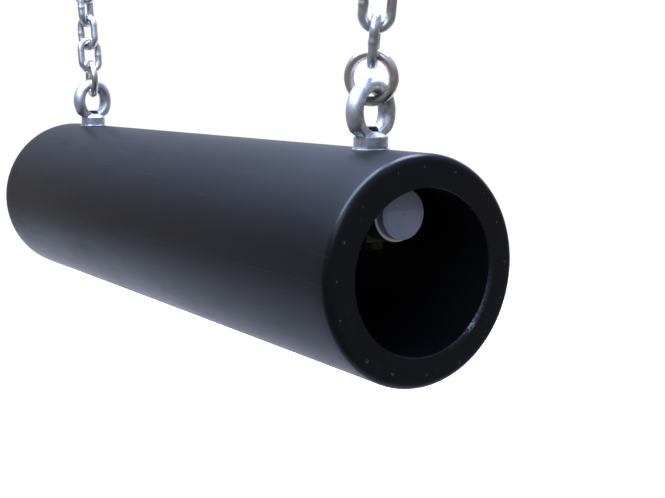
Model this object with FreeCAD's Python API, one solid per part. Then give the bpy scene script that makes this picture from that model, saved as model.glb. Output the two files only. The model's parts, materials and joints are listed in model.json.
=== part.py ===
"""Tube swing: a thick plastic tube hung on two chains from two beam hangers.

Millimetres. +X runs along the tube towards its right end, +Y to the back, +Z up.
The origin is the midpoint of the fore-and-aft swing axis, between the two hangers.
"""
import math
import os

import FreeCAD
import Part

X_AXIS = FreeCAD.Vector(1, 0, 0)
Y_AXIS = FreeCAD.Vector(0, 1, 0)
Z_AXIS = FreeCAD.Vector(0, 0, 1)
SIDES = {"left": -1, "right": 1}

# Tube
TUBE_OD = 180.0
TUBE_WALL = 25.6
TUBE_LENGTH = 708.0
TUBE_EDGE_RADIUS = 6.5
BORE_EDGE = 0.8
END_TO_BOLT = 70.0
SPOT_DEPTH = 1.6
SPOT_CLEARANCE = 1.0

# Support pipe inside the tube
PIPE_OD = 44.5
PIPE_WALL = 2.1
PIPE_INSET = 35.0
PIPE_SEAT_GAP = 0.1
PLUG_SHOWING = 8.0
PLUG_DEPTH = 18.0
PLUG_GAP = 0.15
PLUG_EDGE = 0.8

# M12 fasteners
BOLT_D = 12.0
BOLT_HOLE_CLEARANCE = 1.0
BOLT_REACH = 17.3
THREAD_GAP = 0.1
BOLT_TIP = 1.2
HEX_FLATS = 19.0
HEAD_HEIGHT = 7.5
WASHER_OD = 30.0
WASHER_THICKNESS = 2.0
SADDLE_SIDE = 30.0
SADDLE_FLOOR = 2.0
SADDLE_WRAP = 6.0
SADDLE_GAP = 0.1

# Eye nut
COLLAR_D = 27.5
COLLAR_HEIGHT = 9.3
COLLAR_LIP = 1.0
COLLAR_TOTAL = 13.3
EYE_OD = 52.5
EYE_HOLE = 28.5
EYE_THICKNESS = 15.5
EYE_HEIGHT = 55.0
EYE_FOOT = 9.6
EYE_YAW = {"left": 19.0, "right": 15.0}

# Ring and chain
WIRE_D = 8.0
RING_HOLE = 29.0
LINK_INSIDE_LENGTH = 28.0
LINK_SIDE_ROOM = 6.0
LINKS = 5
CHAIN_SPLAY = 8.0
LINK_GAP = 0.2
RING_LINK_GAP = 0.5
RING_EYE_GAP = 2.4
RING_YAW = {"left": -12.0, "right": 36.0}
FIRST_LINK_YAW = {"left": 94.0, "right": -40.0}
LINK_TURN = {"left": -72.0, "right": 99.0}

# Swing arm
ARM_LENGTH = 70.0
ARM_WIRE_D = 10.0
ARM_EYE_HOLE = 22.0
ARM_LINK_GAP = 0.4
BOSS_D = 34.0
BOSS_WIDTH = 20.0
NECK_TOP_D = 17.0
NECK_BOTTOM_D = 12.0
BUSHING_WALL = 2.6
BUSHING_GAP = 0.1
BUSHING_FLANGE_D = 27.0
BUSHING_FLANGE = 2.0
BUSHING_MIDDLE_GAP = 0.4
RUNNING_GAP = 0.4

# Hanger
EAR_THICKNESS = 8.0
EAR_WIDTH = 36.0
PLATE_CLEARANCE = 13.0
PLATE_LENGTH = 130.0
PLATE_WIDTH = 50.0
PLATE_THICKNESS = 8.0
PLATE_CORNER = 8.0
PLATE_HOLES = 94.0
PIVOT_CLEARANCE = 0.4
PIVOT_TAIL = 3.0
NUT_HEIGHT = 10.8
NUT_COLLAR = 3.0

# Derived sizes
BOLT_HOLE_D = BOLT_D + BOLT_HOLE_CLEARANCE
PIVOT_HOLE_D = BOLT_D + PIVOT_CLEARANCE
COLLAR_TOP_D = BOLT_D + 2 * COLLAR_LIP
BUSHING_OD = BOLT_D + 2 * RUNNING_GAP + 2 * BUSHING_WALL
BORE_R = TUBE_OD / 2 - TUBE_WALL
BOLT_X = TUBE_LENGTH / 2 - END_TO_BOLT
WIRE_R = WIRE_D / 2
RING_R = (RING_HOLE + WIRE_D) / 2
LINK_END_R = WIRE_D + LINK_SIDE_ROOM / 2
LINK_SPAN = LINK_INSIDE_LENGTH + WIRE_D
PITCH = LINK_INSIDE_LENGTH - LINK_GAP
ARM_WIRE_R = ARM_WIRE_D / 2
ARM_EYE_R = (ARM_EYE_HOLE + ARM_WIRE_D) / 2
SPLAY = math.radians(CHAIN_SPLAY)
RING_TO_LINK = RING_R - WIRE_D - RING_LINK_GAP
LINK_TO_ARM = WIRE_R + ARM_WIRE_R + ARM_LINK_GAP
HANG_REACH = RING_TO_LINK + (LINKS - 1) * PITCH + LINK_SPAN - LINK_TO_ARM
HANGER_X = BOLT_X + HANG_REACH * math.sin(SPLAY)
RING_Z = -ARM_LENGTH - HANG_REACH * math.cos(SPLAY)
EYE_CENTRE = EYE_HEIGHT - EYE_OD / 2
EYE_WIRE = (EYE_OD - EYE_HOLE) / 2
RING_ABOVE_BASE = EYE_CENTRE + EYE_HOLE / 2 - WIRE_R - RING_EYE_GAP + RING_R
EYE_BASE_Z = RING_Z - RING_ABOVE_BASE
TUBE_Z = EYE_BASE_Z - WASHER_THICKNESS + SPOT_DEPTH - TUBE_OD / 2
PIPE_Z = TUBE_Z + BORE_R - PIPE_SEAT_GAP - PIPE_OD / 2
PIPE_END_X = TUBE_LENGTH / 2 - PIPE_INSET
HEAD_TOP_Z = PIPE_Z - PIPE_OD / 2 - SADDLE_GAP - SADDLE_FLOOR
BOLT_LENGTH = EYE_BASE_Z + BOLT_REACH - HEAD_TOP_Z
EAR_INSIDE = BOSS_WIDTH / 2 + BUSHING_FLANGE + RUNNING_GAP
EAR_OUTSIDE = EAR_INSIDE + EAR_THICKNESS
PLATE_Z = BOSS_D / 2 + PLATE_CLEARANCE


def vec(x, y, z):
    return FreeCAD.Vector(x, y, z)


def rod(radius, start, direction, length):
    return Part.makeCylinder(radius, length, start, direction)


def ring_shape(radius, wire_radius, centre, axis):
    return Part.makeTorus(radius, wire_radius, centre, axis)


def fuse_all(shapes):
    return shapes[0].multiFuse(shapes[1:]).removeSplitter()


def turned(points, axis):
    """Solid turned about an axis through the origin from a closed outline."""
    face = Part.Face(Part.makePolygon(points + points[:1]))
    return face.revolve(vec(0, 0, 0), axis, 360)


def round_edges(shape, radius, wanted):
    return shape.makeFillet(radius, [edge for edge in shape.Edges if wanted(edge)])


def hex_prism(height):
    """Hexagon along +Z with its outer corners eased at the top."""
    corner = HEX_FLATS / math.sqrt(3)
    points = []
    for k in range(6):
        angle = math.radians(60 * k)
        points.append(vec(corner * math.cos(angle), corner * math.sin(angle), 0))
    prism = Part.Face(Part.makePolygon(points + points[:1])).extrude(vec(0, 0, height))
    drop = (corner - HEX_FLATS / 2 + 0.3) * math.tan(math.radians(30))
    outline = [vec(0, 0, 0), vec(corner, 0, 0), vec(corner, 0, height - drop)]
    outline += [vec(HEX_FLATS / 2 - 0.3, 0, height), vec(0, 0, height)]
    return prism.common(turned(outline, Z_AXIS))


def along(shape, axis, point):
    """Move a shape built along +Z so that it starts at a point and runs along an axis."""
    moved = shape.copy()
    moved.Placement = FreeCAD.Placement(point, FreeCAD.Rotation(Z_AXIS, axis))
    return moved


def hex_bolt(length):
    """Bolt along +Z, underside of its head at z = 0."""
    radius = BOLT_D / 2
    outline = [vec(0, 0, -1), vec(radius, 0, -1), vec(radius, 0, length - BOLT_TIP)]
    outline += [vec(radius - BOLT_TIP, 0, length), vec(0, 0, length)]
    head = along(hex_prism(HEAD_HEIGHT), vec(0, 0, -1), vec(0, 0, 0))
    return fuse_all([head, turned(outline, Z_AXIS)])


def make_tube():
    half = TUBE_LENGTH / 2
    tube = rod(TUBE_OD / 2, vec(-half, 0, TUBE_Z), X_AXIS, TUBE_LENGTH)
    tube = round_edges(tube, TUBE_EDGE_RADIUS, lambda e: e.BoundBox.XLength < 0.01)
    tube = tube.cut(rod(BORE_R, vec(-half - 1, 0, TUBE_Z), X_AXIS, TUBE_LENGTH + 2))
    for side in SIDES.values():
        mouth = Part.makeCone(BORE_R, BORE_R + BORE_EDGE, BORE_EDGE)
        tube = tube.cut(along(mouth, vec(side, 0, 0), vec(side * (half - BORE_EDGE), 0, TUBE_Z)))
        seat_z = TUBE_Z + TUBE_OD / 2 - SPOT_DEPTH
        seat = rod(WASHER_OD / 2 + SPOT_CLEARANCE, vec(side * BOLT_X, 0, seat_z), Z_AXIS, 10)
        hole = rod(BOLT_HOLE_D / 2, vec(side * BOLT_X, 0, TUBE_Z), Z_AXIS, TUBE_OD)
        tube = tube.cut(seat).cut(hole)
    return tube


def make_support_pipe():
    start = vec(-PIPE_END_X, 0, PIPE_Z)
    pipe = rod(PIPE_OD / 2, start, X_AXIS, 2 * PIPE_END_X)
    pipe = pipe.cut(rod(PIPE_OD / 2 - PIPE_WALL, start, X_AXIS, 2 * PIPE_END_X))
    for side in SIDES.values():
        low = vec(side * BOLT_X, 0, PIPE_Z - PIPE_OD)
        pipe = pipe.cut(rod(BOLT_HOLE_D / 2, low, Z_AXIS, 2 * PIPE_OD))
    return pipe


def make_plug(side):
    radius = PIPE_OD / 2 - PIPE_WALL - PLUG_GAP
    start = vec(side * (PIPE_END_X - PLUG_DEPTH), 0, PIPE_Z)
    plug = rod(radius, start, vec(side, 0, 0), PLUG_DEPTH + PLUG_SHOWING)
    outer = side * (PIPE_END_X + PLUG_SHOWING)
    rim = [edge for edge in plug.Edges if abs(edge.CenterOfMass.x - outer) < 0.01]
    return plug.makeChamfer(PLUG_EDGE, rim)


def make_saddle(side):
    half = SADDLE_SIDE / 2
    corner = vec(side * BOLT_X - half, -half, HEAD_TOP_Z)
    height = SADDLE_FLOOR + SADDLE_WRAP
    saddle = Part.makeBox(SADDLE_SIDE, SADDLE_SIDE, height, corner)
    saddle = round_edges(saddle, 3.0, lambda e: e.BoundBox.ZLength > height - 0.01)
    start = vec(side * BOLT_X - SADDLE_SIDE, 0, PIPE_Z)
    saddle = saddle.cut(rod(PIPE_OD / 2 + SADDLE_GAP, start, X_AXIS, 2 * SADDLE_SIDE))
    return saddle.cut(rod(BOLT_HOLE_D / 2, vec(side * BOLT_X, 0, PIPE_Z - PIPE_OD), Z_AXIS, PIPE_OD))


def make_washer(side):
    low = vec(side * BOLT_X, 0, EYE_BASE_Z - WASHER_THICKNESS)
    washer = rod(WASHER_OD / 2, low, Z_AXIS, WASHER_THICKNESS)
    return washer.cut(rod(BOLT_HOLE_D / 2, low, Z_AXIS, WASHER_THICKNESS))


def make_eye_nut(name, side):
    """Lifting eye nut: coned collar under a ring of oval section."""
    radius = COLLAR_D / 2
    outline = [vec(0, 0, 0), vec(radius - 1, 0, 0), vec(radius, 0, 1), vec(radius, 0, COLLAR_HEIGHT)]
    outline += [vec(COLLAR_TOP_D / 2, 0, COLLAR_TOTAL), vec(0, 0, COLLAR_TOTAL)]
    collar = turned(outline, Z_AXIS)
    section_centre = vec(0, EYE_HOLE / 2 + EYE_WIRE / 2, EYE_CENTRE)
    oval = Part.Ellipse(section_centre, EYE_THICKNESS / 2, EYE_WIRE / 2).toShape()
    oval = Part.Face(Part.Wire(oval))
    loop = oval.revolve(vec(0, 0, EYE_CENTRE), X_AXIS, 360)
    # the legs thin and draw in as they run down to the collar's edge
    wide, foot, inside = EYE_THICKNESS / 2 + 1, EYE_FOOT / 2, radius - 0.5
    wedge = [(-foot, 1), (foot, 1), (foot, COLLAR_HEIGHT), (wide, EYE_CENTRE), (wide, EYE_HEIGHT + 1)]
    wedge += [(-wide, EYE_HEIGHT + 1), (-wide, EYE_CENTRE), (-foot, COLLAR_HEIGHT), (-foot, 1)]
    wedge = Part.Face(Part.makePolygon([vec(x, -EYE_OD, z) for x, z in wedge]))
    loop = loop.common(wedge.extrude(vec(0, 2 * EYE_OD, 0)))
    flare = [vec(0, 0, 1), vec(inside, 0, 1), vec(inside, 0, COLLAR_HEIGHT)]
    flare += [vec(EYE_OD / 2 + 1, 0, COLLAR_TOTAL + 4), vec(EYE_OD / 2 + 1, 0, EYE_HEIGHT + 1), vec(0, 0, EYE_HEIGHT + 1)]
    loop = loop.common(turned(flare, Z_AXIS))
    nut = fuse_all([collar, loop])
    nut = nut.cut(rod(BOLT_D / 2 + THREAD_GAP, vec(0, 0, -1), Z_AXIS, EYE_CENTRE))
    nut.rotate(vec(0, 0, 0), Z_AXIS, EYE_YAW[name])
    nut.translate(vec(side * BOLT_X, 0, EYE_BASE_Z))
    return nut


def make_ring(name, side):
    ring = ring_shape(RING_R, WIRE_R, vec(0, 0, 0), Y_AXIS)
    ring.rotate(vec(0, 0, 0), Z_AXIS, RING_YAW[name])
    ring.rotate(vec(0, 0, 0), Y_AXIS, side * CHAIN_SPLAY)
    ring.translate(vec(side * BOLT_X, 0, RING_Z))
    return ring


def link_shape():
    """One welded link in the XZ plane, bottom wire centre at the origin."""
    low = vec(0, 0, LINK_END_R)
    high = vec(0, 0, LINK_SPAN - LINK_END_R)
    section = Part.Wire(Part.Circle(vec(LINK_END_R, 0, LINK_END_R), Z_AXIS, WIRE_R).toShape())
    bottom = Part.Face(section).revolve(low, Y_AXIS, 180)
    sides = [Part.Face(section).extrude(high - low)]
    sides.append(sides[0].mirror(vec(0, 0, 0), X_AXIS))
    top = bottom.mirror(vec(0, 0, LINK_SPAN / 2), Z_AXIS)
    return fuse_all([bottom, top] + sides)


def make_link(name, side, index):
    """Links are numbered upwards from the ring, each turned about the chain line."""
    link = link_shape()
    link.rotate(vec(0, 0, 0), Z_AXIS, FIRST_LINK_YAW[name] + index * LINK_TURN[name])
    link.translate(vec(0, 0, RING_TO_LINK + index * PITCH))
    link.rotate(vec(0, 0, 0), Y_AXIS, side * CHAIN_SPLAY)
    link.translate(vec(side * BOLT_X, 0, RING_Z))
    return link


def make_swing_arm(side):
    """Forged arm: bored boss on the pivot, round-section eye that holds the chain."""
    eye_z = -ARM_LENGTH + ARM_EYE_R
    boss = rod(BOSS_D / 2, vec(-BOSS_WIDTH / 2, 0, 0), X_AXIS, BOSS_WIDTH)
    eye = ring_shape(ARM_EYE_R, ARM_WIRE_R, vec(0, 0, eye_z), X_AXIS)
    neck_end = eye_z + ARM_EYE_R
    neck = Part.makeCone(NECK_BOTTOM_D / 2, NECK_TOP_D / 2, -neck_end, vec(0, 0, neck_end))
    arm = fuse_all([boss, eye, neck])
    arm = arm.cut(rod(BUSHING_OD / 2 + BUSHING_GAP, vec(-BOSS_WIDTH, 0, 0), X_AXIS, 2 * BOSS_WIDTH))
    arm.translate(vec(side * HANGER_X, 0, 0))
    return arm


def make_bushing(side, face):
    """Flanged half-bushing pressed in from one face of the arm's boss."""
    sleeve = BOSS_WIDTH / 2 - BUSHING_MIDDLE_GAP / 2
    flange_start = vec(0, 0, BOSS_WIDTH / 2)
    bushing = rod(BUSHING_OD / 2, vec(0, 0, BOSS_WIDTH / 2 - sleeve), Z_AXIS, sleeve)
    flange = rod(BUSHING_FLANGE_D / 2, flange_start, Z_AXIS, BUSHING_FLANGE)
    bushing = fuse_all([bushing, flange])
    bushing = bushing.cut(rod(BOLT_D / 2 + RUNNING_GAP, vec(0, 0, -1), Z_AXIS, BOSS_WIDTH))
    return along(bushing, vec(face, 0, 0), vec(side * HANGER_X, 0, 0))


def make_ear(face):
    """One ear of the hanger, rounded below the pivot."""
    start = face * EAR_INSIDE
    low_x = min(start, face * EAR_OUTSIDE)
    block = Part.makeBox(EAR_THICKNESS, EAR_WIDTH, PLATE_Z + 1, vec(low_x, -EAR_WIDTH / 2, 0))
    nose = rod(EAR_WIDTH / 2, vec(low_x, 0, 0), X_AXIS, EAR_THICKNESS)
    return fuse_all([block, nose])


def make_hanger(side):
    half_length = PLATE_LENGTH / 2
    corner = vec(-half_length, -PLATE_WIDTH / 2, PLATE_Z)
    plate = Part.makeBox(PLATE_LENGTH, PLATE_WIDTH, PLATE_THICKNESS, corner)
    plate = round_edges(plate, PLATE_CORNER, lambda e: e.BoundBox.ZLength > PLATE_THICKNESS / 2)
    hanger = fuse_all([plate, make_ear(-1), make_ear(1)])
    hanger = hanger.cut(rod(PIVOT_HOLE_D / 2, vec(-EAR_OUTSIDE - 1, 0, 0), X_AXIS, 2 * EAR_OUTSIDE + 2))
    for face in (-1, 1):
        low = vec(face * PLATE_HOLES / 2, 0, PLATE_Z - 1)
        hanger = hanger.cut(rod(BOLT_HOLE_D / 2, low, Z_AXIS, PLATE_THICKNESS + 2))
    hanger.translate(vec(side * HANGER_X, 0, 0))
    return hanger


def make_pivot_bolt(side):
    """Bolt head on the outer ear, shank running inwards through both ears."""
    length = 2 * EAR_OUTSIDE + NUT_HEIGHT + NUT_COLLAR + PIVOT_TAIL
    start = vec(side * (HANGER_X + EAR_OUTSIDE), 0, 0)
    return along(hex_bolt(length), vec(-side, 0, 0), start)


def make_pivot_nut(side):
    """Lock nut with a round collar for its nylon ring."""
    collar = rod(HEX_FLATS / 2 - 1, vec(0, 0, NUT_HEIGHT - 1), Z_AXIS, NUT_COLLAR + 1)
    nut = fuse_all([hex_prism(NUT_HEIGHT), collar])
    nut = nut.cut(rod(BOLT_D / 2 + THREAD_GAP, vec(0, 0, -1), Z_AXIS, NUT_HEIGHT + NUT_COLLAR + 2))
    return along(nut, vec(-side, 0, 0), vec(side * (HANGER_X - EAR_OUTSIDE), 0, 0))


def make_side(name, side):
    """Every piece that comes in a left and a right copy."""
    bolt = along(hex_bolt(BOLT_LENGTH), Z_AXIS, vec(side * BOLT_X, 0, HEAD_TOP_Z))
    pieces = {"pipe_plug": make_plug(side), "saddle": make_saddle(side), "through_bolt": bolt}
    pieces["washer"] = make_washer(side)
    pieces["eye_nut"] = make_eye_nut(name, side)
    pieces["ring"] = make_ring(name, side)
    pieces["swing_arm"] = make_swing_arm(side)
    pieces["bushing_inner"] = make_bushing(side, -side)
    pieces["bushing_outer"] = make_bushing(side, side)
    pieces["hanger"] = make_hanger(side)
    pieces["pivot_bolt"] = make_pivot_bolt(side)
    pieces["pivot_nut"] = make_pivot_nut(side)
    for index in range(LINKS):
        pieces["link_%d" % (index + 1)] = make_link(name, side, index)
    return pieces


def main():
    nodes = {"tube": make_tube(), "support_pipe": make_support_pipe()}
    for name, side in SIDES.items():
        for piece, shape in make_side(name, side).items():
            nodes["%s_%s" % (piece, name)] = shape
    os.makedirs("parts", exist_ok=True)
    for node, shape in nodes.items():
        shape.exportStep("parts/%s.step" % node)


main()
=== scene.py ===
"""Looks for the tube swing: black plastic tube seat, plated chains, eye nuts and hangers."""
import json
import math
import random

import bmesh
import bpy
from mathutils import Matrix, Vector, noise


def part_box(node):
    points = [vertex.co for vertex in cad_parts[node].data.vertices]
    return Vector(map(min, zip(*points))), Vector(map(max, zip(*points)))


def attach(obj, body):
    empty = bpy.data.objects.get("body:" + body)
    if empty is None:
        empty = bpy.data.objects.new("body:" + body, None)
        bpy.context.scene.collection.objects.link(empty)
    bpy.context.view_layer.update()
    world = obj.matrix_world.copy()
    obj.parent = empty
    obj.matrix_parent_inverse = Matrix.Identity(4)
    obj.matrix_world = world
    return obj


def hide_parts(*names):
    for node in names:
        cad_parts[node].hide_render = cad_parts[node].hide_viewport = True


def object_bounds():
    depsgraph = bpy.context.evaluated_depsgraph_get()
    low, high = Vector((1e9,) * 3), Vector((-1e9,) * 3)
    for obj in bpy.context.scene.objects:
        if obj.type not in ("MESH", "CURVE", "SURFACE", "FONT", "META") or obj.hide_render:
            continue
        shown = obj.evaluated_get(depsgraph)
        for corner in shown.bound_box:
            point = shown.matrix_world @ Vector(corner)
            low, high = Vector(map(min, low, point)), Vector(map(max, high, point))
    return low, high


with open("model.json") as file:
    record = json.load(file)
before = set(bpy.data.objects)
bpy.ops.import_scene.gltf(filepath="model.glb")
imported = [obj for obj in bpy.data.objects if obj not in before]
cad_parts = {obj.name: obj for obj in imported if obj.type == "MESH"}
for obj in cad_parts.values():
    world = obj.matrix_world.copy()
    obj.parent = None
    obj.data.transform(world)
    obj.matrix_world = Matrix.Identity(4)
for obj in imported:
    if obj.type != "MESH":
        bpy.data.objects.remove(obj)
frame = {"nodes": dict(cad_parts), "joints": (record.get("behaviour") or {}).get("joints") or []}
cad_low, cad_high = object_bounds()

MM = 0.001
SIDES = {"left": -1.0, "right": 1.0}
NODES = frame["nodes"]
JOINTS = {j["name"]: j for j in frame["joints"]}
rng = random.Random(7)

# Sizes shared with the CAD model, in metres
WIRE_R = 4.0 * MM
RING_R = 18.5 * MM
LINK_END_R = 11.0 * MM
LINK_SPAN = 36.0 * MM
PITCH = 27.8 * MM
RING_TO_LINK = 10.0 * MM
CHAIN_SPLAY = math.radians(8.0)
LINKS = 5
LINK_YAW = {"left": (94.0, -72.0), "right": (-40.0, 99.0)}
RING_YAW = {"left": -12.0, "right": 36.0}
TUBE_R = 90.0 * MM
BORE_R = 64.4 * MM
EDGE_R = 6.5 * MM
BORE_EDGE = 0.8 * MM
SEAT_R = 16.0 * MM
SEAT_DEPTH = 1.6 * MM
HOLE_R = 6.5 * MM
THREAD_R = 6.0 * MM
THREAD_PITCH = 1.75 * MM
THREAD_DEPTH = 0.85 * MM
THROUGH_THREAD = 30 * MM
PIVOT_THREAD = 24 * MM
HEX_FLATS = 19.0 * MM
HEAD_HEIGHT = 7.5 * MM
PLATE_THICKNESS = 8.0 * MM
EAR_INSIDE = 12.4 * MM
EAR_THICKNESS = 8.0 * MM
WELD_HALF = 17 * MM
WELD_SIZE = 2.4 * MM
WELD_RIPPLE = 1.9 * MM

TUBE_LOW, TUBE_HIGH = (Vector(corner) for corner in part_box("tube"))
TUBE_Z = (TUBE_LOW.z + TUBE_HIGH.z) / 2
HALF_LENGTH = TUBE_HIGH.x
BOLT_X = abs(JOINTS["tube_roll"]["pos_m"][0])
RING_Z = JOINTS["tube_roll"]["pos_m"][2] + RING_R
PLUG_Z = (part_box("pipe_plug_right")[0][2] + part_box("pipe_plug_right")[1][2]) / 2
NICK_COUNT = 16
NICK_SCATTER = 4.0


# ---------------------------------------------------------------- mesh helpers

def add_object(name, mesh, body, material):
    piece = bpy.data.objects.new(name, mesh)
    bpy.context.collection.objects.link(piece)
    piece.data.materials.clear()
    piece.data.materials.append(material)
    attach(piece, body)
    return piece


def mesh_from(name, points, faces, sharp_degrees=35.0):
    mesh = bpy.data.meshes.new(name)
    mesh.from_pydata([tuple(p) for p in points], [], faces)
    mesh.validate()
    mesh.shade_smooth()
    mesh.set_sharp_from_angle(angle=math.radians(sharp_degrees))
    return mesh


def skin(rings, closed=False, caps=False):
    """Quads between rings of equal length; closed joins the last ring to the first."""
    count = len(rings[0])
    points = [p for ring in rings for p in ring]
    faces = []
    for i in range(len(rings) if closed else len(rings) - 1):
        a, b = i * count, (i + 1) % len(rings) * count
        for k in range(count):
            n = (k + 1) % count
            faces.append((a + k, a + n, b + n, b + k))
    if caps:
        faces.append(tuple(reversed(range(count))))
        faces.append(tuple(range(len(points) - count, len(points))))
    return points, faces


def moved(points, matrix):
    return [matrix @ p for p in points]


def fix_normals(mesh):
    bm = bmesh.new()
    bm.from_mesh(mesh)
    bmesh.ops.recalc_face_normals(bm, faces=bm.faces)
    bm.to_mesh(mesh)
    bm.free()


def settle(piece):
    """Turn a piece's modifiers into plain mesh."""
    graph = bpy.context.evaluated_depsgraph_get()
    mesh = bpy.data.meshes.new_from_object(piece.evaluated_get(graph))
    piece.modifiers.clear()
    piece.data = mesh
    return mesh


def axis_matrix(point, axis):
    """Takes +Z to an axis and the origin to a point."""
    return Matrix.Translation(point) @ Vector(axis).to_track_quat("Z", "Y").to_matrix().to_4x4()


# ---------------------------------------------------------------- materials

class Nodes:
    """Short calls for building one material's node tree."""

    def __init__(self, name):
        self.material = bpy.data.materials.new(name)
        self.material.use_nodes = True
        self.tree = self.material.node_tree
        self.shader = self.tree.nodes["Principled BSDF"]
        self.coords = self.tree.nodes.new("ShaderNodeTexCoord").outputs["Object"]

    def link(self, source, target):
        self.tree.links.new(source, target)

    def add(self, kind, inputs=None, **settings):
        node = self.tree.nodes.new(kind)
        for key, value in settings.items():
            setattr(node, key, value)
        for key, value in (inputs or {}).items():
            if isinstance(value, bpy.types.NodeSocket):
                self.link(value, node.inputs[key])
            else:
                node.inputs[key].default_value = value
        return node

    def stretched(self, scale, rotation=(0.0, 0.0, 0.0)):
        settings = {"Vector": self.coords, "Scale": scale, "Rotation": rotation}
        return self.add("ShaderNodeMapping", settings).outputs["Vector"]

    def noise(self, scale, detail=4.0, rough=0.55, vector=None, distortion=0.0):
        settings = {"Vector": vector or self.coords, "Scale": scale, "Detail": detail}
        settings.update({"Roughness": rough, "Distortion": distortion})
        return self.add("ShaderNodeTexNoise", settings).outputs["Fac"]

    def ramp(self, source, stops):
        node = self.add("ShaderNodeValToRGB", {"Fac": source})
        ramp = node.color_ramp
        while len(ramp.elements) < len(stops):
            ramp.elements.new(0.5)
        for element, (place, colour) in zip(ramp.elements, stops):
            element.position = place
            element.color = (*colour, 1.0) if len(colour) == 3 else (colour[0],) * 3 + (1.0,)
        return node.outputs["Color"]

    def levels(self, source, low, high, bottom=0.0, top=1.0):
        settings = {"Value": source, "From Min": low, "From Max": high}
        settings.update({"To Min": bottom, "To Max": top})
        return self.add("ShaderNodeMapRange", settings).outputs["Result"]

    def mix(self, factor, one, two):
        node = self.add("ShaderNodeMix", data_type="RGBA")
        for socket, value in ((0, factor), (6, one), (7, two)):
            if isinstance(value, bpy.types.NodeSocket):
                self.link(value, node.inputs[socket])
            else:
                node.inputs[socket].default_value = value if socket == 0 else (*value, 1.0)
        return node.outputs[2]

    def math(self, operation, one, two=0.0):
        node = self.add("ShaderNodeMath", {0: one, 1: two}, operation=operation)
        return node.outputs["Value"]

    def bump(self, height, distance, strength=1.0, under=None):
        settings = {"Height": height, "Distance": distance, "Strength": strength}
        if under is not None:
            settings["Normal"] = under
        return self.add("ShaderNodeBump", settings).outputs["Normal"]

    def finish(self, colour, roughness, normal=None, **constants):
        self.link(colour, self.shader.inputs["Base Color"])
        self.link(roughness, self.shader.inputs["Roughness"])
        if normal is not None:
            self.link(normal, self.shader.inputs["Normal"])
        for key, value in constants.items():
            self.shader.inputs[key.replace("_", " ")].default_value = value
        return self.material


def black_plastic():
    """Satin black moulded plastic with a fine grain, faint scuffs and handling marks, and a painted
    highlight in pale blue on its nicks and along the right bore's edge.
    """
    n = Nodes("black_plastic")
    cloud = n.noise(6.0, 5.0, 0.6)
    grain = n.noise(650.0, 4.0, 0.7)
    scuff = n.noise(40.0, 6.0, 0.7, n.stretched((0.25, 1.0, 1.0)), 0.4)
    scratch = n.noise(260.0, 2.0, 0.5, n.stretched((0.03, 1.0, 1.0), (0.0, 0.0, 0.12)))
    marks = n.levels(scratch, 0.70, 0.78)
    tone = n.ramp(cloud, [(0.3, (0.0044, 0.0044, 0.0052)), (0.7, (0.0066, 0.0066, 0.0078))])
    tone = n.mix(n.levels(scuff, 0.60, 0.80, 0.0, 0.35), tone, (0.030, 0.032, 0.036))
    tone = n.mix(n.math("MULTIPLY", marks, 0.5), tone, (0.035, 0.036, 0.040))
    # Painted highlight: pale bluish colour laid on the end-face nicks and along the right bore's trimmed
    # edge.
    painted_glint = n.add("ShaderNodeAttribute", attribute_name="painted_glint").outputs["Fac"]
    painted_glint = n.math("MULTIPLY", painted_glint, n.levels(n.noise(700.0, 2.0), 0.35, 0.6))
    tone = n.mix(painted_glint, tone, (0.42, 0.46, 0.56))
    rough = n.levels(cloud, 0.3, 0.7, 0.42, 0.48)
    rough = n.math("ADD", rough, n.levels(scuff, 0.55, 0.80, 0.0, 0.10))
    side = n.add("ShaderNodeSeparateXYZ", {"Vector": n.add("ShaderNodeNewGeometry").outputs["Normal"]})
    side = n.math("ABSOLUTE", side.outputs["X"])
    rounding = n.math("MULTIPLY", n.levels(side, 0.05, 0.25), n.levels(side, 0.90, 0.98, 1.0, 0.0))
    rough = n.math("SUBTRACT", rough, n.math("MULTIPLY", rounding, 0.17))
    normal = n.bump(grain, 0.00006, 0.5)
    normal = n.bump(marks, 0.00004, 0.6, normal)
    return n.finish(tone, rough, normal, IOR=1.26)


def zinc(name, light, dark, rough, tint=(0.34, 0.33, 0.24), tint_amount=0.25, lumps=0.00012):
    """Bright zinc plate over a forged or drawn surface."""
    n = Nodes(name)
    cloud = n.noise(70.0, 5.0, 0.6)
    fine = n.noise(520.0, 4.0, 0.6)
    patch = n.noise(38.0, 3.0, 0.5, n.stretched((1.0, 1.0, 1.0), (0.7, 0.3, 0.2)))
    blotch = n.noise(230.0, 4.0, 0.65, None, 0.6)
    tone = n.ramp(cloud, [(0.30, dark), (0.66, light)])
    tone = n.mix(n.levels(blotch, 0.46, 0.66, 0.0, 0.65), tone, tuple(0.62 * c for c in dark))
    tone = n.mix(n.levels(patch, 0.50, 0.68, 0.0, tint_amount), tone, tint)
    tone = n.mix(n.levels(fine, 0.58, 0.74, 0.0, 0.7), tone, tuple(0.45 * c for c in dark))
    roughness = n.levels(cloud, 0.25, 0.75, rough + 0.10, rough - 0.06)
    roughness = n.math("ADD", roughness, n.levels(blotch, 0.46, 0.66, 0.0, 0.12))
    normal = n.bump(cloud, lumps, 0.8)
    normal = n.bump(fine, 0.00004, 0.7, normal)
    return n.finish(tone, roughness, normal, Metallic=1.0)


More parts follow.
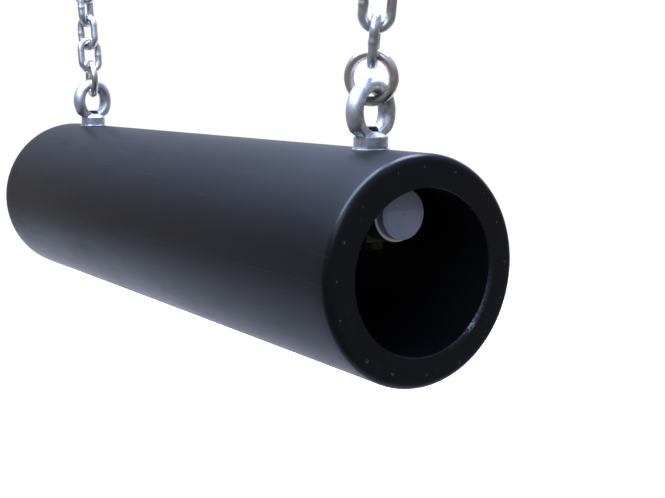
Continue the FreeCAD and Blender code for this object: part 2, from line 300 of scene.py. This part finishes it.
def heat_tinted():
    """Bare ring steel browned by its weld: straw and brown bands, duller near the seam."""
    n = Nodes("tinted_steel")
    cloud = n.noise(85.0, 4.0, 0.6)
    fine = n.noise(600.0, 4.0, 0.6)
    heat = n.add("ShaderNodeAttribute", attribute_name="heat").outputs["Fac"]
    heat = n.math("ADD", heat, n.levels(cloud, 0.3, 0.7, -0.12, 0.12))
    tone = n.ramp(heat, [(0.0, (0.52, 0.47, 0.42)), (0.35, (0.44, 0.35, 0.26)),
                         (0.62, (0.30, 0.21, 0.14)), (0.85, (0.22, 0.20, 0.21)), (1.0, (0.13, 0.12, 0.12))])
    tone = n.mix(n.levels(fine, 0.60, 0.80, 0.0, 0.6), tone, (0.13, 0.10, 0.08))
    roughness = n.levels(cloud, 0.25, 0.75, 0.27, 0.38)
    normal = n.bump(cloud, 0.00007, 0.7)
    return n.finish(tone, roughness, n.bump(fine, 0.00001, 0.5, normal), Metallic=1.0)


def dark_bolt():
    """Black-oxide bolt with a bloom of brown rust."""
    n = Nodes("dark_bolt")
    rust = n.noise(320.0, 5.0, 0.65)
    black, brown, orange = (0.012, 0.011, 0.011), (0.035, 0.022, 0.016), (0.09, 0.048, 0.026)
    tone = n.ramp(rust, [(0.35, black), (0.55, brown), (0.75, orange)])
    rough = n.levels(rust, 0.3, 0.7, 0.45, 0.8)
    return n.finish(tone, rough, n.bump(rust, 0.00008, 0.8), Metallic=0.35)


def pipe_steel():
    """Dull galvanised pipe; its sawn ends are painted near-white and made less metallic, bare steel with a
    painted highlight on it.
    """
    n = Nodes("pipe_steel")
    spangle = n.add("ShaderNodeTexVoronoi", {"Vector": n.coords, "Scale": 160.0}).outputs["Color"]
    spangle = n.levels(spangle, 0.0, 1.0)
    cloud = n.noise(45.0, 4.0, 0.6)
    side = n.add("ShaderNodeSeparateXYZ", {"Vector": n.add("ShaderNodeNewGeometry").outputs["Normal"]})
    end = n.levels(n.math("ABSOLUTE", side.outputs["X"]), 0.6, 0.8)
    tone = n.ramp(spangle, [(0.0, (0.16, 0.17, 0.19)), (1.0, (0.27, 0.28, 0.31))])
    tone = n.mix(n.levels(cloud, 0.4, 0.7, 0.0, 0.5), tone, (0.12, 0.125, 0.14))
    # Painted highlight: the end faces are painted near-white so their rims show lit.
    tone = n.mix(end, tone, (0.86, 0.87, 0.90))
    saw = n.noise(700.0, 2.0, 0.5, n.stretched((1.0, 0.1, 1.0)))
    # Less metallic on the ends, so the painted near-white shows as a highlight.
    n.link(n.levels(end, 0.0, 1.0, 0.9, 0.15), n.shader.inputs["Metallic"])
    return n.finish(tone, n.levels(cloud, 0.3, 0.7, 0.38, 0.55), n.bump(saw, 0.00003, 0.5))


def saddle_painted_shade():
    """Plate painted dark as painted shade for its place inside the tube, paler in patches."""
    n = Nodes("saddle_painted_shade")
    cloud = n.noise(120.0, 5.0, 0.6)
    fine = n.noise(700.0, 3.0, 0.6)
    tone = n.ramp(cloud, [(0.35, (0.035, 0.036, 0.038)), (0.70, (0.10, 0.098, 0.09))])
    tone = n.mix(n.levels(fine, 0.60, 0.80, 0.0, 0.5), tone, (0.020, 0.018, 0.016))
    return n.finish(tone, n.levels(cloud, 0.3, 0.7, 0.50, 0.65), n.bump(fine, 0.00004, 0.6), Metallic=0.6)


def plug_plastic():
    """Grey push-in plugs, painted darker above a level line across the face and paler below it, as painted
    shade.
    """
    n = Nodes("plug_plastic")
    cloud = n.noise(55.0, 4.0, 0.6)
    grain = n.noise(1100.0, 3.0, 0.6)
    # Painted shade: the face is painted darker above a level a little over the plug's centre, paler below
    # it.
    height = n.add("ShaderNodeSeparateXYZ", {"Vector": n.coords}).outputs["Z"]
    line = n.math("ADD", height, n.levels(n.noise(120.0), 0.0, 1.0, -0.0004, 0.0004))
    level = PLUG_Z + 2.6 * MM
    upper_painted_shade = n.levels(line, level - 0.0003, level + 0.0003)
    tone = n.mix(upper_painted_shade, (0.300, 0.325, 0.420), (0.235, 0.270, 0.345))
    tone = n.mix(n.levels(cloud, 0.35, 0.7, 0.0, 0.5), tone, (0.22, 0.24, 0.30))
    tone = n.mix(n.levels(grain, 0.66, 0.80, 0.0, 0.6), tone, (0.14, 0.15, 0.19))
    return n.finish(tone, n.levels(cloud, 0.3, 0.7, 0.42, 0.55), n.bump(grain, 0.00004, 0.6))


def moulded(name, base, speck, rough, grain_depth=0.00004):
    """Plain moulded plastic with a fine texture and slight colour drift."""
    n = Nodes(name)
    cloud = n.noise(55.0, 4.0, 0.6)
    grain = n.noise(1100.0, 3.0, 0.6)
    tone = n.mix(n.levels(cloud, 0.35, 0.7, 0.0, 0.8), base, tuple(0.82 * c for c in base))
    tone = n.mix(n.levels(grain, 0.66, 0.80, 0.0, 0.6), tone, speck)
    gloss = n.levels(cloud, 0.3, 0.7, rough - 0.05, rough + 0.06)
    return n.finish(tone, gloss, n.bump(grain, grain_depth, 0.6))


MATERIALS = {
    "black_plastic": black_plastic(),
    "plated_forging": zinc("plated_forging", (0.66, 0.67, 0.68), (0.36, 0.38, 0.40), 0.42, lumps=0.00022),
    "chain_steel": zinc("chain_steel", (0.72, 0.72, 0.71), (0.36, 0.38, 0.39), 0.33, lumps=0.00016),
    "tinted_steel": heat_tinted(),
    "bolt_steel": zinc("bolt_steel", (0.72, 0.73, 0.74), (0.50, 0.51, 0.52), 0.26, lumps=0.00003),
    "plated_steel": zinc("plated_steel", (0.62, 0.64, 0.67), (0.44, 0.46, 0.49), 0.34, lumps=0.00006),
    "dark_bolt": dark_bolt(),
    "pipe_steel": pipe_steel(),
    "saddle_painted_shade": saddle_painted_shade(),
    "plug_plastic": plug_plastic(),
    "bushing_nylon": moulded("bushing_nylon", (0.72, 0.69, 0.60), (0.6, 0.57, 0.5), 0.45),
}


# ---------------------------------------------------------------- the tube

def ridge_angles():
    """Angles round the tube, close together at the two mould parting lines."""
    angles = {round(360.0 * k / 320, 4) for k in range(320)}
    for line in (0.0, 180.0):
        angles |= {round((line + d) % 360.0, 4) for d in (-0.8, -0.45, -0.2, 0.2, 0.45, 0.8)}
    return sorted(angles)


def parting_height(degrees, x):
    """A raised mould line, fading in and out along the tube."""
    off = min(abs((degrees - line + 180.0) % 360.0 - 180.0) for line in (0.0, 180.0))
    if off > 0.3:
        return 0.0
    fade = 0.55 + 0.45 * noise.noise(Vector((x * 9.0, 3.0, 0.0)))
    return 0.15 * MM * fade


def tube_profile():
    """(x, radius, kind) along the outside from the middle of the left bore to the right one."""
    profile = []
    half = HALF_LENGTH
    for k in range(9):
        turn = math.pi / 2 * k / 8
        inward, down = EDGE_R * (1 - math.sin(turn)), EDGE_R * (1 - math.cos(turn))
        profile.append((-half + inward, TUBE_R - down, "skin"))
    profile.reverse()
    profile = [(-half, BORE_R + BORE_EDGE + 4 * MM, "face")] + profile
    profile = [(-half, BORE_R + BORE_EDGE, "rim"), *profile]
    steps = 56
    straight = 2 * half - 2 * EDGE_R
    middle = [(-half + EDGE_R + straight * k / steps, TUBE_R, "skin") for k in range(1, steps)]
    right = [(-x, r, kind) for x, r, kind in reversed(profile)]
    mouth = half - BORE_EDGE
    inside = [(mouth, BORE_R, "bore"), (mouth - 0.7 * MM, BORE_R, "bore"), (mouth - 4 * MM, BORE_R, "bore")]
    inside += [(mouth - k * 2 * mouth / 24, BORE_R, "bore") for k in range(1, 24)]
    inside += [(4 * MM - mouth, BORE_R, "bore"), (0.7 * MM - mouth, BORE_R, "bore")]
    inside += [(-mouth, BORE_R, "bore")]
    return profile + middle + right + inside


def tube_ring(x, radius, kind, angles):
    ring = []
    for degrees in angles:
        turn = math.radians(degrees)
        place = Vector((x, radius * math.cos(turn), radius * math.sin(turn)))
        grow = 0.0
        if kind == "skin":
            grow = parting_height(degrees, x) + 0.05 * MM * noise.noise(place * 14.0)
        if kind == "rim":
            nick = math.exp(-(((degrees + 44.0 + 180.0) % 360.0 - 180.0) / 3.0) ** 2) if x > 0 else 0.0
            grow = (0.16 + 0.5 * nick) * MM * noise.noise(place * 420.0)
        reach = radius + grow
        ring.append(Vector((x, reach * math.cos(turn), reach * math.sin(turn) + TUBE_Z)))
    return ring


def nick_places():
    """Small nicks round each end face, nearly evenly spaced."""
    places = []
    scatter = random.Random(3)
    for side in SIDES.values():
        for k in range(NICK_COUNT):
            degrees = 360.0 * k / NICK_COUNT + scatter.uniform(-NICK_SCATTER, NICK_SCATTER)
            turn = math.radians(degrees)
            reach = TUBE_R * rng.uniform(0.875, 0.915)
            size = rng.uniform(0.9, 1.4) * MM
            x = side * (HALF_LENGTH + 0.3 * size)
            place = Vector((x, reach * math.cos(turn), reach * math.sin(turn) + TUBE_Z))
            places.append((place, size))
    return places


def painted_glint_at(place):
    """How much painted highlight to lay on: on the nicks, and on the trimmed edge of the right bore."""
    for spot, size in NICKS:
        if (place - spot).length < 1.7 * size and abs(place.x) < HALF_LENGTH - 0.04 * MM:
            return 0.22
    reach = math.hypot(place.y, place.z - TUBE_Z)
    # Painted highlight along the right bore's trimmed edge, brightest at the nick.
    if place.x > HALF_LENGTH - 0.9 * MM and reach < BORE_R + BORE_EDGE + 0.5 * MM:
        degrees = math.degrees(math.atan2(place.z - TUBE_Z, place.y))
        nick = math.exp(-((degrees + 44.0) / 3.5) ** 2)
        line = math.exp(-((degrees + 34.0) / 24.0) ** 2) * (0.20 + 0.22 * noise.noise(place * 200.0))
        return min(1.0, nick + line)
    return 0.0


def cutter_mesh():
    """Bolt seats and holes in the top, and small nicks round both end faces."""
    bm = bmesh.new()
    for side in SIDES.values():
        top = TUBE_Z + TUBE_R
        seat = Matrix.Translation((side * BOLT_X, 0.0, top - SEAT_DEPTH + 5 * MM))
        bmesh.ops.create_cone(bm, cap_ends=True, segments=72, radius1=SEAT_R, radius2=SEAT_R,
                              depth=10 * MM, matrix=seat)
        hole = Matrix.Translation((side * BOLT_X, 0.0, top - 16 * MM))
        bmesh.ops.create_cone(bm, cap_ends=True, segments=48, radius1=HOLE_R, radius2=HOLE_R,
                              depth=40 * MM, matrix=hole)
    for spot, size in NICKS:
        stretch = Matrix.Diagonal((1.0, rng.uniform(0.8, 1.5), rng.uniform(0.8, 1.5), 1.0))
        matrix = Matrix.Translation(spot) @ stretch
        bmesh.ops.create_icosphere(bm, subdivisions=2, radius=size, matrix=matrix)
    mesh = bpy.data.meshes.new("cutters")
    bm.to_mesh(mesh)
    bm.free()
    return mesh


NICKS = nick_places()


def make_tube():
    angles = ridge_angles()
    rings = [tube_ring(x, r, kind, angles) for x, r, kind in tube_profile()]
    points, faces = skin(rings, closed=True)
    mesh = mesh_from("tube_seat_shell", points, faces)
    fix_normals(mesh)
    cutters = bpy.data.objects.new("cutters", cutter_mesh())
    bpy.context.collection.objects.link(cutters)
    tube = bpy.data.objects.new("tube_seat_shell", mesh)
    bpy.context.collection.objects.link(tube)
    cut = tube.modifiers.new("cut", "BOOLEAN")
    cut.operation, cut.object, cut.solver = "DIFFERENCE", cutters, "EXACT"
    mesh = settle(tube)
    mesh.shade_smooth()
    mesh.set_sharp_from_angle(angle=math.radians(28.0))
    # The attribute carries the painted highlight for the nicks and the right bore's edge.
    layer = mesh.attributes.new("painted_glint", "FLOAT", "POINT")
    layer.data.foreach_set("value", [painted_glint_at(v.co) for v in mesh.vertices])
    bpy.data.objects.remove(cutters)
    tube.data.materials.clear()
    tube.data.materials.append(MATERIALS["black_plastic"])
    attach(tube, "tube_seat")
    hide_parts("tube")


# ---------------------------------------------------------------- rings and links

def stadium(span, end_radius):
    """Centre line of a link in the XZ plane: (point, outward direction, distance along)."""
    low, high = end_radius, span - end_radius
    path = []
    for k in range(29):
        turn = math.pi + math.pi * k / 28
        out = Vector((math.cos(turn), 0.0, math.sin(turn)))
        path.append((Vector((0.0, 0.0, low)) + end_radius * out, out))
    for k in range(1, 16):
        height = low + (high - low) * k / 16
        path.append((Vector((end_radius, 0.0, height)), Vector((1.0, 0.0, 0.0))))
    for k in range(29):
        turn = math.pi * k / 28
        out = Vector((math.cos(turn), 0.0, math.sin(turn)))
        path.append((Vector((0.0, 0.0, high)) + end_radius * out, out))
    for k in range(1, 16):
        height = high - (high - low) * k / 16
        path.append((Vector((-end_radius, 0.0, height)), Vector((-1.0, 0.0, 0.0))))
    return path


def circle_path(radius):
    path = []
    for k in range(120):
        turn = 2 * math.pi * k / 120
        out = Vector((math.cos(turn), 0.0, math.sin(turn)))
        path.append((radius * out, out))
    return path


def welded_loop(name, path, weld, matrix, seed, bead=0.42 * MM):
    """Round wire bent into a loop, with its weld seam and a little unevenness."""
    rings, heat = [], []
    for centre, out in path:
        away = (centre - weld).length
        swell = bead * math.exp(-(away / (2.0 * MM)) ** 2)
        flat = 0.10 * MM * math.exp(-(away / (4.5 * MM)) ** 2)
        ring = []
        for k in range(28):
            turn = 2 * math.pi * k / 28
            place = centre + WIRE_R * (math.cos(turn) * out + math.sin(turn) * Vector((0.0, 1.0, 0.0)))
            wobble = 0.05 * MM * noise.noise(place * 160.0 + Vector((seed, 0.0, 0.0)))
            ripple = 0.35 * swell * noise.noise(place * 700.0 + Vector((0.0, seed, 0.0)))
            reach = WIRE_R - 0.06 * MM + swell + wobble + ripple - flat * abs(math.cos(turn))
            ring.append(centre + reach * (math.cos(turn) * out + math.sin(turn) * Vector((0.0, 1.0, 0.0))))
            heat.append(math.exp(-(away / (9.0 * MM)) ** 2))
        rings.append(ring)
    points, faces = skin(rings, closed=True)
    mesh = mesh_from(name, moved(points, matrix), faces, 60.0)
    layer = mesh.attributes.new("heat", "FLOAT", "POINT")
    layer.data.foreach_set("value", heat)
    fix_normals(mesh)
    return mesh


def make_chain(name, side):
    start = Matrix.Translation((side * BOLT_X, 0.0, RING_Z)) @ Matrix.Rotation(side * CHAIN_SPLAY, 4, "Y")
    first, step = LINK_YAW[name]
    for index in range(LINKS):
        yaw = Matrix.Rotation(math.radians(first + index * step), 4, "Z")
        lift = Matrix.Translation((0.0, 0.0, RING_TO_LINK + index * PITCH))
        weld = Vector((LINK_END_R * (-1) ** index, 0.0, LINK_SPAN / 2))
        path = stadium(LINK_SPAN, LINK_END_R)
        mesh = welded_loop("link_weld", path, weld, start @ lift @ yaw, 3.1 * index + side)
        node = "link_%d_%s" % (index + 1, name)
        link = add_object("%s_welded" % node, mesh, "chain_" + name, MATERIALS["chain_steel"])
        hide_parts(node)
    ring_matrix = start @ Matrix.Rotation(math.radians(RING_YAW[name]), 4, "Z")
    weld = Vector((RING_R * side, 0.0, 0.0))
    mesh = welded_loop("ring_weld", circle_path(RING_R), weld, ring_matrix, 9.0 + side, 0.3 * MM)
    ring = add_object("ring_%s_welded" % name, mesh, "ring_" + name,
                      MATERIALS["tinted_steel"])
    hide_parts("ring_" + name)


# ---------------------------------------------------------------- forgings

def forged(node, body, slot, voxel, passes):
    """A node's own shape with its hard corners eased, as a forging has."""
    mesh = NODES[node].data.copy()
    piece = add_object(node + "_forged", mesh, body, MATERIALS[slot])
    remesh = piece.modifiers.new("remesh", "REMESH")
    remesh.mode, remesh.voxel_size, remesh.use_smooth_shade = "VOXEL", voxel, True
    smooth = piece.modifiers.new("smooth", "SMOOTH")
    smooth.factor, smooth.iterations = 0.5, passes
    mesh = settle(piece)
    mesh.shade_smooth()
    mesh.materials.clear()
    mesh.materials.append(MATERIALS[slot])
    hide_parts(node)
    return piece


# ---------------------------------------------------------------- fasteners

def hex_reach(turn):
    return HEX_FLATS / 2 / math.cos((turn + math.pi / 6) % (math.pi / 3) - math.pi / 6)


def hex_body(height):
    """Chamfered hexagon along +Z from z = 0: rings for skin()."""
    corner_cut = HEX_FLATS / 2 * 0.97
    ease = 0.25 * MM
    rings = []
    levels = [(2.5 * MM, 0.0, 0), (ease, 0.0, 0), (0.0, ease, 0), (0.0, height, 1), (None, height, 0)]
    for inset, z, chamfer in levels:
        ring = []
        for k in range(96):
            turn = 2 * math.pi * k / 96
            reach = hex_reach(turn) if inset is None else hex_reach(turn) - inset
            level = z
            if chamfer:
                level = height - max(0.0, reach - corner_cut) * math.tan(math.radians(30))
            if inset is None:
                reach = corner_cut
            ring.append(Vector((reach * math.cos(turn), reach * math.sin(turn), level)))
        rings.append(ring)
    return rings


def thread_rings(length, start_z=0.0):
    """Rings of a threaded shank along +Z, tip chamfered, 16 rings to a pitch."""
    rings = []
    steps = int(length / THREAD_PITCH * 16)
    for i in range(steps + 1):
        z = length * i / steps
        ring = []
        for k in range(48):
            turn = 2 * math.pi * k / 48
            phase = (z / THREAD_PITCH - k / 48) % 1.0
            groove = THREAD_DEPTH * max(0.0, 1.0 - abs(2.0 * phase - 1.0) * 1.15)
            reach = THREAD_R - 0.05 * MM - groove
            reach = min(reach, THREAD_R - 1.2 * MM + (length - z))
            ring.append(Vector((reach * math.cos(turn), reach * math.sin(turn), start_z + z)))
        rings.append(ring)
    return rings


def join_meshes(name, parts, matrix, sharp=30.0):
    """One mesh out of several (points, faces) parts."""
    points, faces = [], []
    for part_points, part_faces in parts:
        base = len(points)
        points += part_points
        faces += [tuple(base + i for i in face) for face in part_faces]
    mesh = mesh_from(name, moved(points, matrix), faces, sharp)
    fix_normals(mesh)
    return mesh


def bolt_parts(length, head, threaded):
    """Hex head below z = 0, plain shank, then rolled thread up to the tip."""
    turned_over = Matrix.Rotation(math.pi, 4, "X")
    head_rings = [[turned_over @ p for p in ring] for ring in hex_body(head)]
    plain = length - threaded
    shank = []
    for z in (-1 * MM, plain):
        ring = [Vector((THREAD_R * math.cos(t), THREAD_R * math.sin(t), z))
                for t in (2 * math.pi * k / 48 for k in range(48))]
        shank.append(ring)
    thread = thread_rings(threaded, plain - 0.2 * MM)
    return [skin(rings, caps=True) for rings in (head_rings, shank, thread)]


def make_through_bolt(name):
    node = "through_bolt_" + name
    low, high = (Vector(corner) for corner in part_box(node))
    length = high.z - low.z - HEAD_HEIGHT
    base = Vector(((low.x + high.x) / 2, 0.0, low.z + HEAD_HEIGHT))
    parts = bolt_parts(length, HEAD_HEIGHT, THROUGH_THREAD)
    mesh = join_meshes(node + "_m", parts, Matrix.Translation(base))
    bolt = add_object(node + "_threaded", mesh, "tube_seat", MATERIALS["dark_bolt"])
    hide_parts(node)


def make_pivot_set(name, side):
    node = "pivot_bolt_" + name
    low, high = (Vector(corner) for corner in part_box(node))
    length = high.x - low.x - HEAD_HEIGHT
    outer = high.x - HEAD_HEIGHT if side > 0 else low.x + HEAD_HEIGHT
    matrix = axis_matrix((outer, 0.0, 0.0), (-side, 0.0, 0.0))
    mesh = join_meshes(node + "_m", bolt_parts(length, HEAD_HEIGHT, PIVOT_THREAD), matrix)
    bolt = add_object(node + "_threaded", mesh, "hangers", MATERIALS["bolt_steel"])
    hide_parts(node)


def rounded_copy(node, body, slot, width, segments=3, finish=None):
    """A node's own shape with its sharp edges rounded over."""
    mesh = NODES[node].data.copy()
    bm = bmesh.new()
    bm.from_mesh(mesh)
    bmesh.ops.remove_doubles(bm, verts=bm.verts, dist=1e-6)
    bmesh.ops.dissolve_limit(bm, angle_limit=math.radians(0.5), verts=bm.verts, edges=bm.edges)
    bm.to_mesh(mesh)
    bm.free()
    material = MATERIALS[finish or slot]
    piece = add_object(node + "_eased", mesh, body, material)
    bevel = piece.modifiers.new("bevel", "BEVEL")
    bevel.width, bevel.segments, bevel.limit_method = width, segments, "ANGLE"
    bevel.angle_limit = math.radians(35.0)
    bevel.use_clamp_overlap = True
    mesh = settle(piece)
    mesh.shade_smooth()
    mesh.set_sharp_from_angle(angle=math.radians(40.0))
    mesh.materials.clear()
    mesh.materials.append(material)
    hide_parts(node)
    return piece


def weld_bead(name, start, end, inward, size, body):
    """Rippled fillet weld between two points, in the corner below a plate."""
    length = (end - start).length
    along = (end - start).normalized()
    steps = int(length / (0.5 * MM))
    rings = []
    for i in range(steps + 1):
        s = length * i / steps
        taper = min(1.0, s / (2 * MM) + 0.25, (length - s) / (2 * MM) + 0.25)
        uneven = noise.noise(Vector((s * 300.0, 1.0, 0.0)))
        ripple = 1.0 + 0.10 * math.cos(2 * math.pi * s / WELD_RIPPLE) + 0.10 * uneven
        ring = []
        for k in range(14):
            turn = 2 * math.pi * k / 14
            reach = size * taper * ripple
            out = math.cos(turn) * inward + math.sin(turn) * Vector((0.0, 0.0, 1.0))
            ring.append(start + along * s + reach * out)
        rings.append(ring)
    points, faces = skin(rings, caps=True)
    mesh = mesh_from(name, points, faces, 70.0)
    fix_normals(mesh)
    return add_object(name, mesh, body, MATERIALS["plated_steel"])


def make_hanger(name, side):
    rounded_copy("hanger_" + name, "hangers", "plated_steel", 0.7 * MM)
    low, high = (Vector(corner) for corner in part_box("hanger_" + name))
    centre = (low.x + high.x) / 2
    under = high.z - PLATE_THICKNESS
    for ear in (-1, 1):
        for face, offset in (("in", EAR_INSIDE), ("out", EAR_INSIDE + EAR_THICKNESS)):
            x = centre + ear * offset
            toward = Vector((ear if face == "out" else -ear, 0.0, 0.0))
            bead = "weld_%s_%s_%s" % (name, "left" if ear < 0 else "right", face)
            start, end = Vector((x, -WELD_HALF, under)), Vector((x, WELD_HALF, under))
            weld_bead(bead, start, end, toward, WELD_SIZE, "hangers")


# ---------------------------------------------------------------- pipe plugs

def make_plug(name, side):
    """Moulded push-in plug: chamfered rim, shallow dished face, small gate mark."""
    low, high = (Vector(corner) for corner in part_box("pipe_plug_" + name))
    radius = (high.z - low.z) / 2
    length = high.x - low.x
    outline = [(0.0, 0.0), (0.92, 0.0), (1.0, 1.5 * MM), (1.0, length - 0.9 * MM),
               (0.993, length - 0.45 * MM), (0.965, length - 0.1 * MM),
               (0.93, length), (0.90, length), (0.885, length - 0.35 * MM),
               (0.86, length - 0.35 * MM), (0.84, length - 0.05 * MM), (0.06, length - 0.05 * MM),
               (0.045, length - 0.5 * MM), (0.0, length - 0.5 * MM)]
    rings = []
    for share, z in outline[1:-1]:
        rings.append([Vector((share * radius * math.cos(t), share * radius * math.sin(t), z))
                      for t in (2 * math.pi * k / 96 for k in range(96))])
    points, faces = skin(rings, caps=True)
    inner = low.x if side > 0 else high.x
    matrix = axis_matrix((inner, 0.0, (low.z + high.z) / 2), (side, 0.0, 0.0))
    mesh = mesh_from("plug", moved(points, matrix), faces, 30.0)
    fix_normals(mesh)
    plug = add_object("pipe_plug_%s_moulded" % name, mesh, "tube_seat",
                      MATERIALS["plug_plastic"])
    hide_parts("pipe_plug_" + name)


# ---------------------------------------------------------------- assembly

def dress(node, slot):
    mesh = NODES[node].data
    mesh.materials.clear()
    mesh.materials.append(MATERIALS[slot])


make_tube()
dress("support_pipe", "pipe_steel")
for side_name, sign in SIDES.items():
    make_chain(side_name, sign)
    forged("eye_nut_" + side_name, "tube_seat", "plated_forging", 0.45 * MM, 8)
    forged("swing_arm_" + side_name, "arm_" + side_name, "plated_forging", 0.6 * MM, 10)
    make_plug(side_name, sign)
    make_through_bolt(side_name)
    make_pivot_set(side_name, sign)
    make_hanger(side_name, sign)
    rounded_copy("washer_" + side_name, "tube_seat", "bolt_steel", 0.3 * MM)
    # The saddle gets a dark finish that stands for painted shade where it sits under the pipe.
    rounded_copy("saddle_" + side_name, "tube_seat", "plated_steel", 0.4 * MM, finish="saddle_painted_shade")
    rounded_copy("pivot_nut_" + side_name, "hangers", "bolt_steel", 0.25 * MM)
    for place in ("inner", "outer"):
        rounded_copy("bushing_%s_%s" % (place, side_name), "arm_" + side_name, "bushing_nylon", 0.3 * MM)


# ---------------------------------------------------------------- stage, light, camera

BACKDROP = (-0.825, 0.565, 0.0)
BACKDROP_WHITE = (1.02, 1.02, 1.02)
ROOM_DIM = (0.25, 0.24, 0.235)
ROOM_SIDE = (0.38, 0.35, 0.34)
SKY_COOL = (0.62, 0.76, 1.20)

def make_floor():
    """Round studio floor, set back so that it fills the view below the swing."""
    centre, radius, height = Vector((-2.4, 1.6, 0.0)), 3.6, cad_low.z - 1.0
    bm = bmesh.new()
    bmesh.ops.create_circle(bm, cap_ends=True, segments=128, radius=radius,
                            matrix=Matrix.Translation((centre.x, centre.y, height)))
    mesh = bpy.data.meshes.new("floor")
    bm.to_mesh(mesh)
    bm.free()
    floor = bpy.data.objects.new("floor", mesh)
    bpy.context.collection.objects.link(floor)
    n = Nodes("floor_paper")
    drift = n.noise(1.5, 2.0, 0.5)
    tone = n.mix(drift, (0.90, 0.90, 0.90), (0.88, 0.88, 0.88))
    floor.data.materials.append(n.finish(tone, n.levels(drift, 0.0, 1.0, 0.85, 0.95)))


def soft_light(name, place, target, size, power, colour, only=None, spread=180.0):
    data = bpy.data.lights.new(name, "AREA")
    data.shape, data.size, data.size_y = "RECTANGLE", size[0], size[1]
    data.energy, data.color, data.spread = power, colour, math.radians(spread)
    light = bpy.data.objects.new(name, data)
    light.location = place
    light.visible_glossy = only != "diffuse"
    light.visible_diffuse = only != "glossy"
    light.rotation_mode = "QUATERNION"
    light.rotation_quaternion = (Vector(target) - Vector(place)).to_track_quat("-Z", "Y")
    bpy.context.collection.objects.link(light)


def make_world():
    """A white backdrop behind the swing, a dim room in front of it, cool light from above."""
    world = bpy.data.worlds.new("studio")
    world.use_nodes = True
    tree = world.node_tree
    coords = tree.nodes.new("ShaderNodeTexCoord").outputs["Generated"]

    def along(direction, low, high):
        dot = tree.nodes.new("ShaderNodeVectorMath")
        dot.operation = "DOT_PRODUCT"
        tree.links.new(coords, dot.inputs[0])
        dot.inputs[1].default_value = direction
        level = tree.nodes.new("ShaderNodeMapRange")
        level.interpolation_type = "SMOOTHSTEP"
        tree.links.new(dot.outputs["Value"], level.inputs["Value"])
        level.inputs["From Min"].default_value, level.inputs["From Max"].default_value = low, high
        return level.outputs["Result"]

    def blend(factor, one, two):
        mix = tree.nodes.new("ShaderNodeMix")
        mix.data_type = "RGBA"
        tree.links.new(factor, mix.inputs[0])
        for socket, value in ((6, one), (7, two)):
            if isinstance(value, tuple):
                mix.inputs[socket].default_value = (*value, 1.0)
            else:
                tree.links.new(value, mix.inputs[socket])
        return mix.outputs[2]

    room = blend(along(BACKDROP, -0.4, 0.3), ROOM_DIM, ROOM_SIDE)
    backdrop = blend(along(BACKDROP, 0.50, 0.90), room, BACKDROP_WHITE)
    sky = blend(along((0.0, 0.0, 1.0), 0.10, 0.60), backdrop, SKY_COOL)
    tree.links.new(sky, tree.nodes["Background"].inputs["Color"])
    bpy.context.scene.world = world


def make_camera():
    """Seen from the tube's right end, a little above it."""
    data = bpy.data.cameras.new("camera")
    data.lens, data.sensor_width = 58.83, 36.0
    data.clip_start, data.clip_end = 0.01, 200.0
    camera = bpy.data.objects.new("camera", data)
    camera.location = (0.97694, -0.51158, -0.21906)
    azimuth, elevation = math.radians(55.575), math.radians(8.783)
    back = Vector((math.sin(azimuth) * math.cos(elevation), -math.cos(azimuth) * math.cos(elevation),
                   math.sin(elevation)))
    across = Vector((0.0, 0.0, 1.0)).cross(back).normalized()
    up = back.cross(across)
    camera.rotation_mode = "QUATERNION"
    camera.rotation_quaternion = Matrix((across, up, back)).transposed().to_quaternion()
    bpy.context.collection.objects.link(camera)
    bpy.context.scene.camera = camera


make_floor()
make_world()
soft_light("backdrop_wash", (-3.2, 2.2, 1.4), (-3.2, 2.2, -1.5), (3.6, 3.6), 155.0,
           (1.0, 1.0, 1.0), "diffuse", 110.0)
soft_light("overhead", (-0.22, -0.30, 1.3), (-0.22, -0.30, 0.0), (1.25, 3.1), 265.0,
           (0.58, 0.69, 1.0), "glossy")
soft_light("window", (1.3, -1.9, 1.35), (0.1, 0.0, -0.35), (1.3, 1.3), 22.0, (0.74, 0.84, 1.0))
make_camera()
bpy.context.scene.view_settings.view_transform = "Standard"
